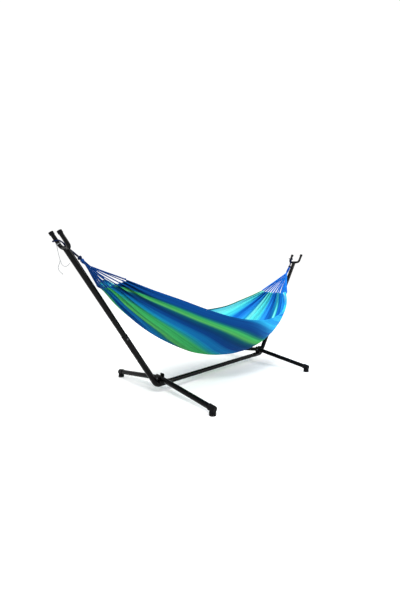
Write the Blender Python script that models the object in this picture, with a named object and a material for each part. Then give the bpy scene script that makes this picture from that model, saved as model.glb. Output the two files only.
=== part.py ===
"""Striped cloth hammock with string ends, hung on a bolted steel tube stand.

Metres, +Z up. The origin is on the floor under the middle of the stand, +X runs along the
hammock, and the front of the stand is at -Y. LEFT is the -X end, where the cloth hangs higher.
"""

import math

import bmesh
import bpy
from mathutils import Matrix, Vector

# Fits
GAP = 0.0003            # between pieces that touch
HOLE_CLEARANCE = 0.0003  # round a bolt, on its radius
PLUG_CLEARANCE = 0.0005  # round a tube in its socket, on its radius

# Stand tubes
TUBE_OD = 0.040         # base tube, upper arms and cross legs
WALL = 0.002
SOCKET_WALL = 0.002
SOCKET_OD = TUBE_OD + 2 * (PLUG_CLEARANCE + SOCKET_WALL)  # lower arms
BASE_Z = 0.077          # axis of the base tube
ELBOW_X = 0.728         # where the base axis and the arm axis cross
ELBOW_RADIUS = 0.060
ARM_ANGLE = math.radians(55.7)
ARM_LENGTH = 1.233      # from the elbow's corner to the fork's bar
SOCKET_RISE = 0.520     # from the elbow's corner to the mouth that takes the upper arm
SOCKET_REACH = 0.128    # from the elbow's corner to the mouth that takes the base tube
PLUG_DEPTH = 0.060

# Cross legs and feet
LEG_X = 0.692
SADDLE_WEB = 0.0034     # of the saddle bracket, between the base socket and the leg
LEG_Z = BASE_Z + SOCKET_OD / 2 + SADDLE_WEB + TUBE_OD / 2 + 2 * GAP  # axis of a leg at its middle
LEG_END_Y = 0.575
LEG_END_Z = 0.044
LEG_BEND_RADIUS = 0.100
FOOT_WALL = 0.0042
FOOT_OD = TUBE_OD + 2 * (GAP + FOOT_WALL)
FOOT_LENGTH = 0.050
FOOT_END = 0.005
PAD_OD = FOOT_OD + 0.001
PAD_INSET = 0.018       # from the end of the leg to the middle of the pad

# Saddle brackets that hold the legs on the base
EAR_THICKNESS = 0.003
EAR_CORNER = 0.010
EAR_RISE = 0.014        # above the top of the leg
EAR_DROP = 0.012        # below the top of the base socket
SADDLE_HALF = 0.024     # half its length along the leg
SLOT_DROP = 0.001       # of the open slot's bottom below the leg's axis

# Forks and their caps
FORK_BAR = 0.026
FORK_HALF = 0.060
FORK_RISE = 0.112
FORK_BEND = 0.030
CAP_WALL = 0.00245
CAP_OD = FORK_BAR + 2 * (GAP + CAP_WALL)
CAP_LENGTH = 0.022
CAP_END = 0.003
CAP_EDGE = 0.002

# Bolts
BOLT_D = 0.008
BOLT_HEAD_D = 0.016
BOLT_HEAD_H = 0.0045
NUT_FLATS = 0.013
NUT_H = 0.0065
BOLT_TIP = 0.0015       # how far a bolt stands out of its nut
BOLT_EDGE = 0.001

# The swing axis, through both knots, from the axis of the forks' bars
HANG_DROP = 0.055579
KNOT_INSET = {-1: 0.0868, 1: 0.1078}
BAR_X = ELBOW_X + ARM_LENGTH * math.cos(ARM_ANGLE)
BAR_Z = BASE_Z + ARM_LENGTH * math.sin(ARM_ANGLE)
HANG_Z = BAR_Z - HANG_DROP

# Ropes, knots and clew strings
KNOT_D = 0.028
KNOT_STEPS = 8
ROPE_D = 0.009
LOOP_RISE = 0.058       # of the eye loop along its prong
LOOP_SPREAD = 0.0055    # half the distance between the two runs at the knot
LOOP_CLEARANCE = 0.0025  # between the rope and its prong
LOOP_BAR_CLEARANCE = 0.003
LOOP_KNOT_GAP = 0.002
BUNDLE_D = 0.020
WHIP_WALL = 0.0027
WHIP_OD = BUNDLE_D + 2 * (GAP + WHIP_WALL)
WHIP_LENGTH = {-1: 0.016, 1: 0.085}
WHIP_FLOOR = 0.003      # of the whipping's closed end, between the knot and the bundle
WHIP_EDGE = 0.0015
BUNDLE_OUT = 0.012      # how far the bundle stands out of its whipping
STRING_D = 0.0045
STRINGS = 12
STRING_ROOT = 0.008     # how deep a string starts inside the bundle
STRING_REACH = 0.94     # of the outer strings, as a share of the cloth's half width
STRING_STOP = 0.004     # between a string's end and the middle of the cloth

# Cloth: (x under the middle, x of the edges, drop of the middle and of the edges below the swing
# axis, half width)
CLOTH_THICKNESS = 0.004
CLOTH_STATIONS = (
    (-1.160, -1.075, 0.182, 0.138, 0.130),
    (-1.030, -0.930, 0.337, 0.202, 0.200),
    (-0.810, -0.740, 0.518, 0.274, 0.285),
    (-0.550, -0.520, 0.673, 0.357, 0.355),
    (-0.270, -0.260, 0.790, 0.435, 0.415),
    (0.050, 0.050, 0.840, 0.480, 0.440),
    (0.330, 0.310, 0.812, 0.483, 0.410),
    (0.590, 0.540, 0.720, 0.455, 0.350),
    (0.800, 0.720, 0.593, 0.395, 0.285),
    (0.950, 0.855, 0.450, 0.340, 0.215),
    (1.040, 0.940, 0.312, 0.288, 0.140),
)
CLOTH_ROWS = 26         # along the hammock
CLOTH_COLUMNS = 12      # across it

# Thin tie cord on the left fork
TIE_D = 0.004
TIE_WRAP_RISE = 0.034   # along the prong
TIE_WRAP_LENGTH = 0.0065
TIE_KNOT_D = 0.008
TIE_KNOT_SIDES = 10
TIE_EDGE = 0.001
TIE_STEP = 0.010        # between points on the cord's tube
# Routes from the left fork's bar, beside the outer face of the cord wound on its back prong
TIE_TAIL_ROUTE = (
    (-0.0212, 0.0032, 0.0334), (-0.0182, 0.0045, 0.0094), (-0.0112, 0.0040, -0.0306),
    (-0.0042, -0.0020, -0.0696), (-0.0112, -0.0080, -0.0956), (-0.0202, -0.0120, -0.1156),
    (-0.0152, -0.0140, -0.1376), (0.0018, -0.0150, -0.1546),
)
TIE_LOOP_ROUTE = (
    (-0.0037, -0.0075, -0.0746), (-0.0002, -0.0150, -0.0956), (0.0088, -0.0240, -0.1086),
    (0.0198, -0.0330, -0.1096), (0.0298, -0.0410, -0.1016), (0.0363, -0.0485, -0.0906),
)

TUBE_SIDES = 16
ROPE_SIDES = 8
STRING_SIDES = 6
BOLT_SIDES = 12
LEFT, RIGHT = -1, 1
ENDS = {LEFT: "left", RIGHT: "right"}
FRONT, BACK = -1, 1
DEPTHS = {FRONT: "front", BACK: "back"}


# Materials

def material(name, colour, roughness, metallic=0.0):
    made = bpy.data.materials.new(name)
    made.use_nodes = True
    shader = made.node_tree.nodes["Principled BSDF"]
    shader.inputs["Base Color"].default_value = (*colour, 1.0)
    shader.inputs["Roughness"].default_value = roughness
    shader.inputs["Metallic"].default_value = metallic
    made.diffuse_color = (*colour, 1.0)
    return made


MATERIALS = {
    "painted_steel": ((0.012, 0.012, 0.014), 0.35, 0.0),
    "black_plastic": ((0.020, 0.020, 0.022), 0.55, 0.0),
    "zinc_steel": ((0.10, 0.10, 0.11), 0.30, 1.0),
    "blue_cloth": ((0.020, 0.110, 0.420), 0.90, 0.0),
    "blue_cord": ((0.020, 0.070, 0.330), 0.85, 0.0),
    "white_cord": ((0.750, 0.760, 0.770), 0.80, 0.0),
}


def look(name, kind):
    colour, roughness, metallic = MATERIALS[kind]
    return material(f"{name}_{kind}", colour, roughness, metallic)


# Shapes

def add_object(name, mesh, kind=None):
    thing = bpy.data.objects.new(name, mesh)
    bpy.context.scene.collection.objects.link(thing)
    if kind:
        mesh.materials.append(look(name, kind))
        mesh.shade_smooth()
        mesh.set_sharp_from_angle(angle=math.radians(35))
    return thing


def mesh_from(bm, name):
    bmesh.ops.recalc_face_normals(bm, faces=bm.faces)
    mesh = bpy.data.meshes.new(name)
    bm.to_mesh(mesh)
    bm.free()
    return mesh


def ring_frames(path):
    """A frame (point, across, over) at each point of a path, turned as little as possible."""
    points = [Vector(p) for p in path]
    frames = []
    across = None
    for i, point in enumerate(points):
        before = (point - points[i - 1]).normalized() if i else None
        after = (points[i + 1] - point).normalized() if i + 1 < len(points) else None
        along = ((before or after) + (after or before)).normalized()
        if across is None:
            across = along.orthogonal().normalized()
        across = (across - across.dot(along) * along).normalized()
        frames.append((point, across, along.cross(across)))
    return frames


def ring_at(bm, frame, radius, sides):
    point, across, over = frame
    turn = 2 * math.pi / sides
    return [
        bm.verts.new(point + radius * (math.cos(i * turn) * across + math.sin(i * turn) * over))
        for i in range(sides)
    ]


def bridge(bm, first, second):
    count = len(first)
    for i in range(count):
        j = (i + 1) % count
        bm.faces.new((first[i], first[j], second[j], second[i]))


def swept_mesh(name, path, outer, inner=0.0, sides=TUBE_SIDES):
    """A bar, or a tube when inner isn't 0, along a path of points."""
    bm = bmesh.new()
    frames = ring_frames(path)
    skins = [[ring_at(bm, frame, radius, sides) for frame in frames] for radius in (outer, inner) if radius]
    for skin in skins:
        for first, second in zip(skin, skin[1:]):
            bridge(bm, first, second)
    if inner:
        bridge(bm, skins[0][0], skins[1][0])
        bridge(bm, skins[0][-1], skins[1][-1])
    else:
        bm.faces.new(skins[0][0])
        bm.faces.new(skins[0][-1])
    return mesh_from(bm, name)


def turned_mesh(name, profile, sides=TUBE_SIDES):
    """A closed profile of (radius, height) turned round Z; radius 0 is on the axis."""
    bm = bmesh.new()
    turn = 2 * math.pi / sides
    rings = []
    for radius, height in profile:
        if radius == 0:
            rings.append([bm.verts.new((0, 0, height))])
        else:
            rings.append([
                bm.verts.new((radius * math.cos(i * turn), radius * math.sin(i * turn), height))
                for i in range(sides)
            ])
    for first, second in zip(rings, rings[1:] + rings[:1]):
        for i in range(sides):
            corners = [first[i % len(first)], first[(i + 1) % len(first)],
                       second[(i + 1) % len(second)], second[i % len(second)]]
            corners = list(dict.fromkeys(corners))
            if len(corners) > 2:
                bm.faces.new(corners)
    return mesh_from(bm, name)


def bore_radius(radius, gap=GAP):
    """The corner radius of a bore whose flats clear what is inside it by the gap."""
    return (radius + gap) / math.cos(math.pi / TUBE_SIDES)


def cutter(name, mesh):
    tool = add_object(name, mesh)
    tool.hide_render = True
    tool.display_type = "WIRE"
    return tool


def combine(thing, tool, operation="DIFFERENCE", itself=False):
    modifier = thing.modifiers.new(tool.name, "BOOLEAN")
    modifier.operation = operation
    modifier.solver = "EXACT"
    modifier.use_self = itself
    modifier.object = tool


def rod_between(start, end, radius, name, sides=TUBE_SIDES):
    return cutter(name, swept_mesh(name, (start, end), radius, sides=sides))


def aimed(thing, point, along):
    """Put a turned object at a point with its axis in a direction."""
    turn = Vector(along).to_track_quat("Z", "Y").to_matrix().to_4x4()
    thing.matrix_world = Matrix.Translation(point) @ turn
    return thing


def arc_points(centre, start, end, steps):
    """Points from start to end round a centre."""
    centre = Vector(centre)
    first = Vector(start) - centre
    turn = first.rotation_difference(Vector(end) - centre)
    points = []
    for i in range(steps + 1):
        part = turn.copy()
        part.angle = turn.angle * i / steps
        points.append(centre + part @ first)
    return points


def spline_value(a, b, c, d, t):
    """Catmull-Rom: between b at t = 0 and c at t = 1."""
    cubic = 3 * b - a - 3 * c + d
    square = 2 * a - 5 * b + 4 * c - d
    return 0.5 * (2 * b + (c - a) * t + square * t ** 2 + cubic * t ** 3)


def smooth_through(route, samples):
    """A smooth curve through the route's points."""
    points = [Vector(p) for p in route]
    points = [2 * points[0] - points[1], *points, 2 * points[-1] - points[-2]]
    curve = []
    for a, b, c, d in zip(points, points[1:], points[2:], points[3:]):
        for i in range(samples):
            curve.append(spline_value(a, b, c, d, i / samples))
    curve.append(points[-2])
    return curve


def evenly(curve, step):
    """The same curve with its points about one step apart."""
    lengths = [0.0]
    for a, b in zip(curve, curve[1:]):
        lengths.append(lengths[-1] + (b - a).length)
    count = max(2, round(lengths[-1] / step))
    points = []
    i = 0
    for n in range(count + 1):
        wanted = lengths[-1] * n / count
        while i < len(curve) - 2 and lengths[i + 1] < wanted:
            i += 1
        share = (wanted - lengths[i]) / (lengths[i + 1] - lengths[i])
        points.append(curve[i].lerp(curve[i + 1], share))
    return points


# Places on the stand

def arm_direction(end):
    return Vector((end * math.cos(ARM_ANGLE), 0, math.sin(ARM_ANGLE)))


def on_arm(end, distance):
    """A point on the arm's axis, this far from the elbow's corner."""
    return Vector((end * ELBOW_X, 0, BASE_Z)) + distance * arm_direction(end)


def elbow_path(end, steps=7):
    """The lower arm's axis, from the base socket's mouth round the elbow to the upper mouth."""
    setback = ELBOW_RADIUS * math.tan(ARM_ANGLE / 2)
    first = Vector((end * (ELBOW_X - setback), 0, BASE_Z))
    centre = first + Vector((0, 0, ELBOW_RADIUS))
    bend = arc_points(centre, first, on_arm(end, setback), steps)
    return [Vector((end * (ELBOW_X - SOCKET_REACH), 0, BASE_Z)), *bend, on_arm(end, SOCKET_RISE)]


def leg_path(end, steps=4):
    """A cross leg's axis: two straight halves that slope down from a bend at the middle."""
    slope = math.atan2(LEG_Z - LEG_END_Z, LEG_END_Y)
    top = Vector((end * LEG_X, 0, LEG_Z))
    centre = top - Vector((0, 0, LEG_BEND_RADIUS))
    reach = LEG_BEND_RADIUS * math.sin(slope)
    drop = LEG_BEND_RADIUS * (1 - math.cos(slope))
    bend = arc_points(centre, top + Vector((0, -reach, -drop)), top + Vector((0, reach, -drop)), steps)
    return [leg_end(end, FRONT), *bend, leg_end(end, BACK)]


def leg_end(end, depth):
    return Vector((end * LEG_X, depth * LEG_END_Y, LEG_END_Z))


def leg_direction(end, depth):
    path = leg_path(end)
    return (path[-1] - path[-2]).normalized() if depth == BACK else (path[0] - path[1]).normalized()


def on_fork(end, rise, y):
    return on_arm(end, ARM_LENGTH + rise) + Vector((0, y, 0))


def fork_path(end, steps=6):
    """The U of a fork, from its front tip round to its back tip."""
    flat = FORK_HALF - FORK_BEND
    corners = {}
    for depth in DEPTHS:
        centre = on_fork(end, FORK_BEND, depth * flat)
        outside = on_fork(end, FORK_BEND, depth * FORK_HALF)
        corners[depth] = arc_points(centre, outside, on_fork(end, 0, depth * flat), steps)
    front_tip = on_fork(end, FORK_RISE, -FORK_HALF)
    back_tip = on_fork(end, FORK_RISE, FORK_HALF)
    return [front_tip, *corners[FRONT], *reversed(corners[BACK]), back_tip]


# Stand pieces

def bolt_hole(thing, point, along, reach):
    half = Vector(along).normalized() * reach
    combine(thing, rod_between(point - half, point + half, BOLT_D / 2 + HOLE_CLEARANCE, f"{thing.name}_hole"))


def bolt_and_nut(name, place, point, along, grip):
    """A dome-headed bolt through a stack of thickness grip about a point, with its nut."""
    along = Vector(along)
    radius = BOLT_D / 2
    head = BOLT_HEAD_D / 2
    length = grip + 2 * GAP + NUT_H + BOLT_TIP + GAP
    dome = [(head * math.sin(math.pi / 6 * i), -BOLT_HEAD_H * math.cos(math.pi / 6 * i)) for i in range(4)]
    shank = [(radius, 0), (radius, length - BOLT_EDGE), (radius - BOLT_EDGE, length), (0, length)]
    bolt = add_object(f"{name}_bolt_{place}", turned_mesh(name, [*dome, *shank], BOLT_SIDES), "zinc_steel")
    aimed(bolt, point - along * (grip / 2 + GAP), along)
    corner = NUT_FLATS / math.sqrt(3)
    bore = radius + HOLE_CLEARANCE
    nut = add_object(f"{name}_nut_{place}", hex_nut_mesh(f"{name}_nut", corner, bore, NUT_H), "zinc_steel")
    aimed(nut, point + along * (grip / 2 + GAP), along)


def hex_nut_mesh(name, corner, bore, height):
    """A hexagon with a round bore."""
    bm = bmesh.new()
    flats = corner * math.cos(math.pi / 6)
    outers, inners = [], []
    for z in (0, height):
        outer, inner = [], []
        for i in range(BOLT_SIDES):
            angle = 2 * math.pi * i / BOLT_SIDES
            from_flat = angle % (math.pi / 3) - math.pi / 6
            reach = flats / math.cos(from_flat)
            outer.append(bm.verts.new((reach * math.cos(angle), reach * math.sin(angle), z)))
            inner.append(bm.verts.new((bore * math.cos(angle), bore * math.sin(angle), z)))
        outers.append(outer)
        inners.append(inner)
    bridge(bm, outers[0], outers[1])
    bridge(bm, inners[1], inners[0])
    bridge(bm, inners[0], outers[0])
    bridge(bm, outers[1], inners[1])
    return mesh_from(bm, name)


def base_bolt_point(end):
    return Vector((end * (ELBOW_X - SOCKET_REACH + PLUG_DEPTH / 2), 0, BASE_Z))


def arm_bolt_point(end):
    return on_arm(end, SOCKET_RISE - PLUG_DEPTH / 2)


def steel_tube(name, path, outer, inner):
    return add_object(name, swept_mesh(name, path, outer, inner), "painted_steel")


def make_base_tube():
    reach = ELBOW_X - SOCKET_REACH + PLUG_DEPTH
    path = (Vector((-reach, 0, BASE_Z)), Vector((reach, 0, BASE_Z)))
    tube = steel_tube("base_tube", path, TUBE_OD / 2, TUBE_OD / 2 - WALL)
    for end in ENDS:
        bolt_hole(tube, base_bolt_point(end), (0, 1, 0), SOCKET_OD)


def make_lower_arm(end):
    name = f"lower_arm_{ENDS[end]}"
    inner = bore_radius(TUBE_OD / 2, PLUG_CLEARANCE)
    arm = steel_tube(name, elbow_path(end), SOCKET_OD / 2, inner)
    for point in (base_bolt_point(end), arm_bolt_point(end)):
        bolt_hole(arm, point, (0, 1, 0), SOCKET_OD)


def make_upper_arm(end):
    name = f"upper_arm_{ENDS[end]}"
    path = (on_arm(end, SOCKET_RISE - PLUG_DEPTH), on_arm(end, ARM_LENGTH))
    arm = steel_tube(name, path, TUBE_OD / 2, TUBE_OD / 2 - WALL)
    bolt_hole(arm, arm_bolt_point(end), (0, 1, 0), SOCKET_OD)
    half = Vector((0, FORK_HALF - FORK_BEND, 0))
    top = on_arm(end, ARM_LENGTH)
    combine(arm, rod_between(top - half, top + half, bore_radius(FORK_BAR / 2), f"{name}_notch"))


def make_fork(end):
    name = f"fork_{ENDS[end]}"
    add_object(name, swept_mesh(name, fork_path(end), FORK_BAR / 2), "painted_steel")
    for depth in DEPTHS:
        bore = bore_radius(FORK_BAR / 2)
        outer = CAP_OD / 2
        edge = CAP_EDGE
        mouth = CAP_END - CAP_LENGTH
        profile = [(bore, mouth), (outer - edge / 2, mouth), (outer, mouth + edge / 2),
                   (outer, CAP_END - edge), (outer - edge, CAP_END), (0, CAP_END), (0, GAP), (bore, GAP)]
        cap_name = f"fork_cap_{ENDS[end]}_{DEPTHS[depth]}"
        cap = add_object(cap_name, turned_mesh(cap_name, profile), "black_plastic")
        aimed(cap, on_fork(end, FORK_RISE, depth * FORK_HALF), arm_direction(end))


def make_cross_leg(end):
    name = f"cross_leg_{ENDS[end]}"
    leg = steel_tube(name, leg_path(end), TUBE_OD / 2, TUBE_OD / 2 - WALL)
    bolt_hole(leg, Vector((end * LEG_X, 0, LEG_Z)), (1, 0, 0), TUBE_OD)
    for depth in DEPTHS:
        make_foot(end, depth)


def make_foot(end, depth):
    """A sleeve with a closed end over the leg's end, joined to a round pad on the floor."""
    name = f"foot_cap_{ENDS[end]}_{DEPTHS[depth]}"
    tip = leg_end(end, depth)
    along = leg_direction(end, depth)
    sleeve_path = (tip - along * FOOT_LENGTH, tip + along * FOOT_END)
    foot = add_object(name, swept_mesh(name, sleeve_path, FOOT_OD / 2), "black_plastic")
    pad_top = tip - along * (PAD_INSET / abs(along.y))
    pad_foot = Vector((pad_top.x, pad_top.y, 0))
    combine(foot, rod_between(pad_foot, pad_top - Vector((0, 0, WALL)), PAD_OD / 2, f"{name}_pad"), "UNION")
    combine(foot, rod_between(tip - along * 2 * FOOT_LENGTH, tip + along * GAP,
                              bore_radius(TUBE_OD / 2), f"{name}_bore"))


def saddle_outline():
    """Half the outline of an ear, in Y and Z, with a rounded top corner."""
    bottom = BASE_Z + SOCKET_OD / 2 - EAR_DROP
    top = LEG_Z + TUBE_OD / 2 + EAR_RISE
    outline = [(SADDLE_HALF, bottom)]
    steps = 6
    for i in range(steps + 1):
        angle = math.pi / 2 * i / steps
        y = SADDLE_HALF - EAR_CORNER + EAR_CORNER * math.cos(angle)
        outline.append((y, top - EAR_CORNER + EAR_CORNER * math.sin(angle)))
    return outline


def make_saddle(end):
    """Two ears and a web, cut to fit the leg above and the base socket below."""
    name = f"saddle_bracket_{ENDS[end]}"
    half_x = TUBE_OD / 2 + GAP + EAR_THICKNESS
    outline = saddle_outline()
    outline += [(-y, z) for y, z in reversed(outline)]
    bm = bmesh.new()
    sides = [[bm.verts.new((end * LEG_X + x, y, z)) for y, z in outline] for x in (-half_x, half_x)]
    bridge(bm, sides[0], sides[1])
    for side in sides:
        bm.faces.new(side)
    saddle = add_object(name, mesh_from(bm, name), "painted_steel")

    leg = cutter(f"{name}_leg", swept_mesh(name, leg_path(end), bore_radius(TUBE_OD / 2)))
    combine(saddle, leg)
    slot_bottom = LEG_Z - SLOT_DROP
    slot_size = Vector((TUBE_OD + 2 * GAP, 4 * SADDLE_HALF, 2 * EAR_RISE + TUBE_OD))
    bm = bmesh.new()
    bmesh.ops.create_cube(bm, size=1.0)
    bmesh.ops.scale(bm, vec=slot_size, verts=bm.verts)
    bmesh.ops.translate(bm, vec=(end * LEG_X, 0, slot_bottom + slot_size.z / 2), verts=bm.verts)
    combine(saddle, cutter(f"{name}_slot", mesh_from(bm, name)))
    combine(saddle, cutter(f"{name}_base", swept_mesh(name, elbow_path(end), bore_radius(SOCKET_OD / 2))))
    bolt_hole(saddle, Vector((end * LEG_X, 0, LEG_Z)), (1, 0, 0), TUBE_OD)


def make_bolts(end):
    place = ENDS[end]
    bolt_and_nut("base", place, base_bolt_point(end), (0, 1, 0), SOCKET_OD)
    bolt_and_nut("arm", place, arm_bolt_point(end), (0, 1, 0), SOCKET_OD)
    leg_grip = TUBE_OD + 2 * (GAP + EAR_THICKNESS)
    bolt_and_nut("saddle", place, Vector((end * LEG_X, 0, LEG_Z)), (end, 0, 0), leg_grip)


# Hammock

def cloth_station(along):
    """The cloth's (middle x, edge x, middle drop, edge drop, half width) at 0 (left) to 1 (right)."""
    stations = [Vector(s) for s in CLOTH_STATIONS]
    stations = [2 * stations[0] - stations[1], *stations, 2 * stations[-1] - stations[-2]]
    place = along * (len(CLOTH_STATIONS) - 1)
    i = min(int(place), len(CLOTH_STATIONS) - 2)
    return spline_value(*stations[i:i + 4], place - i)


def cloth_point(along, across):
    """A point on the middle of the cloth: across is -1 at the front edge, 1 at the back edge."""
    middle_x, edge_x, middle_drop, edge_drop, half = cloth_station(along)
    turn = across * math.pi / 2
    rise = 1 - math.cos(turn)
    drop = middle_drop + (edge_drop - middle_drop) * rise
    return Vector((middle_x + (edge_x - middle_x) * rise, half * math.sin(turn), HANG_Z - drop))


def cloth_normal(along, across):
    step = 0.01
    a, b = max(along - step, 0), min(along + step, 1)
    c, d = max(across - step, -1), min(across + step, 1)
    length = cloth_point(b, across) - cloth_point(a, across)
    width = cloth_point(along, d) - cloth_point(along, c)
    return length.cross(width).normalized()


def make_cloth():
    name = "hammock_cloth"
    bm = bmesh.new()
    rims = []
    for side in (-0.5, 0.5):
        grid = []
        for i in range(CLOTH_ROWS + 1):
            row = []
            for j in range(CLOTH_COLUMNS + 1):
                along, across = i / CLOTH_ROWS, 2 * j / CLOTH_COLUMNS - 1
                shift = cloth_normal(along, across) * side * CLOTH_THICKNESS
                row.append(bm.verts.new(cloth_point(along, across) + shift))
            grid.append(row)
        for first, second in zip(grid, grid[1:]):
            for j in range(CLOTH_COLUMNS):
                bm.faces.new((first[j], first[j + 1], second[j + 1], second[j]))
        back_edge = [row[-1] for row in grid[:-1]]
        front_edge = [row[0] for row in grid[:0:-1]]
        rims.append(grid[0][:-1] + back_edge + grid[-1][:0:-1] + front_edge)
    bridge(bm, rims[0], rims[1])
    return add_object(name, mesh_from(bm, name), "blue_cloth")


def knot_centre(end):
    return Vector((end * (BAR_X - KNOT_INSET[end]), 0, HANG_Z))


def clew_target(end):
    return cloth_point(0 if end == LEFT else 1, 0)


def clew_direction(end):
    return (clew_target(end) - knot_centre(end)).normalized()


def ball_mesh(name, radius, sides):
    angles = [math.pi * i / KNOT_STEPS for i in range(1, KNOT_STEPS)]
    profile = [(radius * math.sin(a), -radius * math.cos(a)) for a in angles]
    return turned_mesh(name, [(0, -radius), *profile, (0, radius)], sides)


def make_knot(end):
    name = f"eye_knot_{ENDS[end]}"
    knot = add_object(name, ball_mesh(name, KNOT_D / 2, BOLT_SIDES), "blue_cord")
    knot.matrix_world = Matrix.Translation(knot_centre(end)) @ Matrix.Rotation(math.pi / 2, 4, "Y")
    return knot


def whip_start(end):
    return knot_centre(end) + clew_direction(end) * (KNOT_D / 2 + GAP)


def make_whipping(end):
    """A wrapped sleeve round the bundle of strings, closed against the knot."""
    name = f"whipping_{ENDS[end]}"
    outer, bore = WHIP_OD / 2, bore_radius(BUNDLE_D / 2)
    length = WHIP_LENGTH[end]
    edge = WHIP_EDGE
    profile = [(0, 0), (outer - 2 * edge, 0), (outer, 2 * edge), (outer, length - edge),
               (outer - edge, length), (bore, length), (bore, WHIP_FLOOR), (0, WHIP_FLOOR)]
    sleeve = add_object(name, turned_mesh(name, profile), "blue_cord")
    aimed(sleeve, whip_start(end), clew_direction(end))
    return sleeve


def make_clew(end):
    """The bundle in the whipping and the strings that fan out of it to the cloth's end."""
    name = f"clew_{ENDS[end]}"
    along = clew_direction(end)
    start = whip_start(end) + along * (WHIP_FLOOR + GAP)
    fan = whip_start(end) + along * (WHIP_LENGTH[end] + BUNDLE_OUT)
    clew = add_object(name, swept_mesh(name, (start, fan), BUNDLE_D / 2), "blue_cord")
    cloth_end = 0 if end == LEFT else 1
    for n in range(STRINGS):
        across = STRING_REACH * (2 * n / (STRINGS - 1) - 1)
        target = cloth_point(cloth_end, across)
        root = fan - along * STRING_ROOT + Vector((0, across * (BUNDLE_D / 2 - STRING_D), 0))
        tip = target + (root - target).normalized() * STRING_STOP
        combine(clew, rod_between(root, tip, STRING_D / 2, f"{name}_string_{n}", STRING_SIDES), "UNION")
    return clew


def make_eye_loop(end):
    """The rope that goes round the back prong and comes down over the bar to the knot."""
    name = f"eye_loop_{ENDS[end]}"
    prong = on_fork(end, LOOP_RISE, FORK_HALF)
    down = -arm_direction(end)
    inward = Vector((0, -1, 0))
    upper = Vector((-end * math.sin(ARM_ANGLE), 0, math.cos(ARM_ANGLE)))
    around = FORK_BAR / 2 + ROPE_D / 2 + LOOP_CLEARANCE
    over_bar = FORK_BAR / 2 + ROPE_D / 2 + LOOP_BAR_CLEARANCE
    corner = around * 0.72

    def place(a, b, c):
        return prong + inward * a + upper * b + down * c

    knot = knot_centre(end)
    towards = (place(0.022, over_bar, LOOP_RISE + 0.004) - knot).normalized()
    sideways = towards.cross(Vector((1, 0, 0))).normalized()
    if sideways.y > 0:
        sideways = -sideways
    start = KNOT_D / 2 + LOOP_KNOT_GAP
    ends = [knot + towards * start + sideways * side * LOOP_SPREAD for side in (1, -1)]
    route = [
        ends[0],
        place(0.034, over_bar + 0.002, LOOP_RISE + 0.006),
        place(0.026, over_bar, LOOP_RISE - 0.020),
        place(around, 0.006, 0.006),
        place(corner, -corner, 0.0),
        place(0, -around - 0.001, 0.0),
        place(-corner, -corner, 0.0),
        place(-around, 0.003, 0.004),
        place(-corner, around, 0.012),
        place(0.006, around + 0.004, LOOP_RISE - 0.024),
        place(0.021, over_bar + 0.002, LOOP_RISE + 0.004),
        ends[1],
    ]
    curve = evenly(smooth_through(route, 8), ROPE_D)
    return add_object(name, swept_mesh(name, curve, ROPE_D / 2, sides=ROPE_SIDES), "blue_cord")


def make_hammock():
    """The pieces that swing, hung from an empty on the swing axis."""
    axis = bpy.data.objects.new("swing_axis", None)
    axis.location = (0, 0, HANG_Z)
    bpy.context.scene.collection.objects.link(axis)
    pieces = [make_cloth()]
    for end in ENDS:
        pieces += [make_knot(end), make_whipping(end), make_clew(end)]
    bpy.context.view_layer.update()
    for piece in pieces:
        piece.parent = axis
        piece.matrix_parent_inverse = axis.matrix_world.inverted()


# Thin tie cord

def cord_tube(name, route):
    """A thin cord as a bevelled curve through a route, which starts beside the wrap on the prong."""
    curve = bpy.data.curves.new(name, "CURVE")
    curve.dimensions = "3D"
    curve.bevel_depth = TIE_D / 2
    curve.bevel_resolution = 2
    curve.use_fill_caps = True
    start = on_fork(LEFT, 0, FORK_HALF + FORK_BAR / 2 + TIE_D)
    points = evenly(smooth_through([start + Vector(p) for p in route], 8), TIE_STEP)
    spline = curve.splines.new("POLY")
    spline.points.add(len(points) - 1)
    for slot, point in zip(spline.points, points):
        slot.co = (*point, 1.0)
    curve.materials.append(look(name, "white_cord"))
    cord = bpy.data.objects.new(name, curve)
    bpy.context.scene.collection.objects.link(cord)
    return points


def make_tie_cord():
    wrap_bore = bore_radius(FORK_BAR / 2)
    wrap_outer = wrap_bore + TIE_D
    half = TIE_WRAP_LENGTH / 2
    edge = TIE_EDGE
    profile = [(wrap_bore, -half), (wrap_outer - edge, -half), (wrap_outer, edge - half),
               (wrap_outer, half - edge), (wrap_outer - edge, half), (wrap_bore, half)]
    wrap = add_object("tie_cord_wrap", turned_mesh("tie_cord_wrap", profile), "white_cord")
    aimed(wrap, on_fork(LEFT, TIE_WRAP_RISE, FORK_HALF), arm_direction(LEFT))
    tail = cord_tube("tie_cord_tail", TIE_TAIL_ROUTE)
    cord_tube("tie_cord_loop", TIE_LOOP_ROUTE)
    radius = TIE_KNOT_D / 2
    knot = add_object("tie_cord_knot", ball_mesh("tie_cord_knot", radius, TIE_KNOT_SIDES), "white_cord")
    along = (tail[-1] - tail[-2]).normalized()
    aimed(knot, tail[-1] + along * (radius + GAP), along)


def main():
    for old in list(bpy.data.objects):
        bpy.data.objects.remove(old)
    make_base_tube()
    for end in ENDS:
        make_lower_arm(end)
        make_upper_arm(end)
        make_fork(end)
        make_saddle(end)
        make_cross_leg(end)
        make_bolts(end)
        make_eye_loop(end)
    make_hammock()
    make_tie_cord()


main()
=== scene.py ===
"""The looks of a striped cloth hammock on a bolted steel tube stand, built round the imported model.

Metres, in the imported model's frame: +X along the hammock, the front of the stand at -Y, +Z up.
LEFT is the -X end, where the cloth hangs higher.
"""

import math

import bpy
import numpy as np
from mathutils import Matrix, Vector


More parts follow.
